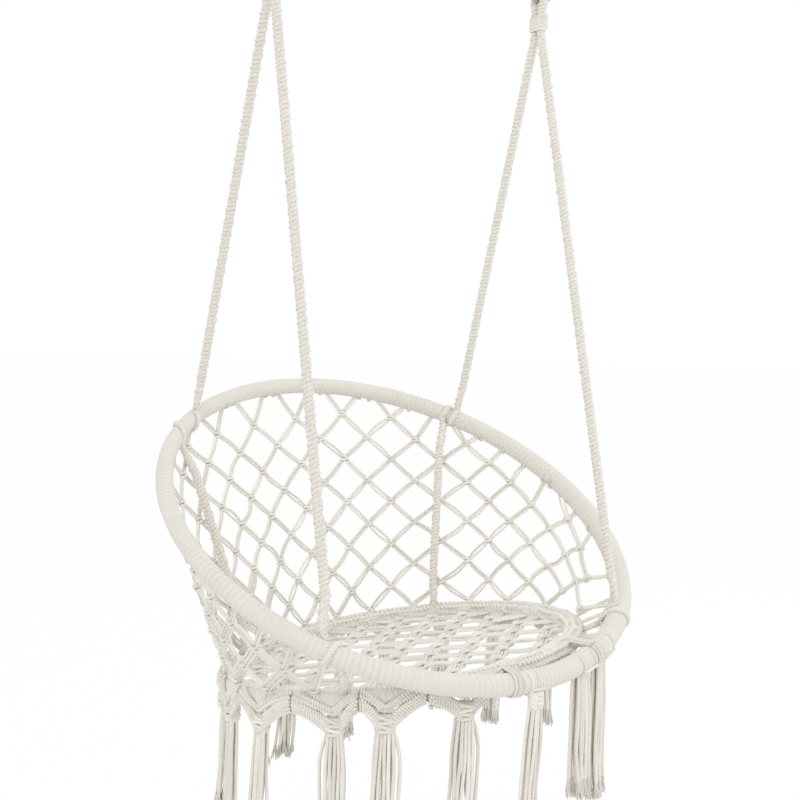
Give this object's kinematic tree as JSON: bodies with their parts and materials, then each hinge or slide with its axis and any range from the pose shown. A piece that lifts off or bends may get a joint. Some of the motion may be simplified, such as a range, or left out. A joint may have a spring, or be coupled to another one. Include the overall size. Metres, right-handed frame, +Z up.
{
  "type": "hammock chair",
  "caption": "Hanging net chair: a large tilted hoop over a smaller seat hoop, joined by a knotted cotton net and hung by a rope on each side from a steel ring.",
  "frame": {"origin": "midway between the two points where the hooks bear, on the inside of the top of each steel ring", "axes": "+Z up, the sitter faces -Y, +X to the side of the right-hand ring seen from the front"},
  "size_m": [0.8004, 0.6992, 1.4051],
  "materials": {
    "ring_steel": "satin",
    "tube_steel": "satin",
    "wound_cotton": "matte",
    "net_cord": "matte",
    "rope_cotton": "matte",
    "tassel_cord": "matte"
  },
  "bodies": {
    "hanging_rings": {"hanging_ring_right": "ring_steel", "hanging_ring_left": "ring_steel"},
    "chair": {"back_hoop_tube": "tube_steel", "seat_hoop_tube": "tube_steel", "back_hoop_wrap": "wound_cotton", "seat_hoop_wrap": "wound_cotton", "side_rope_right": "rope_cotton", "side_rope_left": "rope_cotton", "rope_gather_right": "wound_cotton", "rope_gather_left": "wound_cotton", "back_net_panel_1": "net_cord", "back_net_panel_2": "net_cord", "back_net_panel_3": "net_cord", "back_net_panel_4": "net_cord", "back_net_panel_5": "net_cord", "back_net_panel_6": "net_cord", "back_net_panel_7": "net_cord", "seat_net": "net_cord", "hoop_lashing_1": "wound_cotton", "hoop_lashing_2": "wound_cotton", "seat_tassel_01": "tassel_cord", "seat_tassel_02": "tassel_cord", "seat_tassel_03": "tassel_cord", "seat_tassel_04": "tassel_cord", "seat_tassel_05": "tassel_cord", "seat_tassel_06": "tassel_cord", "seat_tassel_07": "tassel_cord", "seat_tassel_08": "tassel_cord", "seat_tassel_09": "tassel_cord", "seat_tassel_10": "tassel_cord", "seat_tassel_11": "tassel_cord", "seat_tassel_12": "tassel_cord", "seat_tassel_13": "tassel_cord", "seat_tassel_14": "tassel_cord", "hoop_tassel_1": "tassel_cord", "hoop_tassel_2": "tassel_cord", "hoop_tassel_3": "tassel_cord"}
  },
  "joints": [
    {"name": "swing", "type": "hinge", "parent": "hanging_rings", "child": "chair", "pos_m": [0, 0, -0.058], "axis": [1, 0, 0], "range_deg": [-30, 30]}
  ]
}
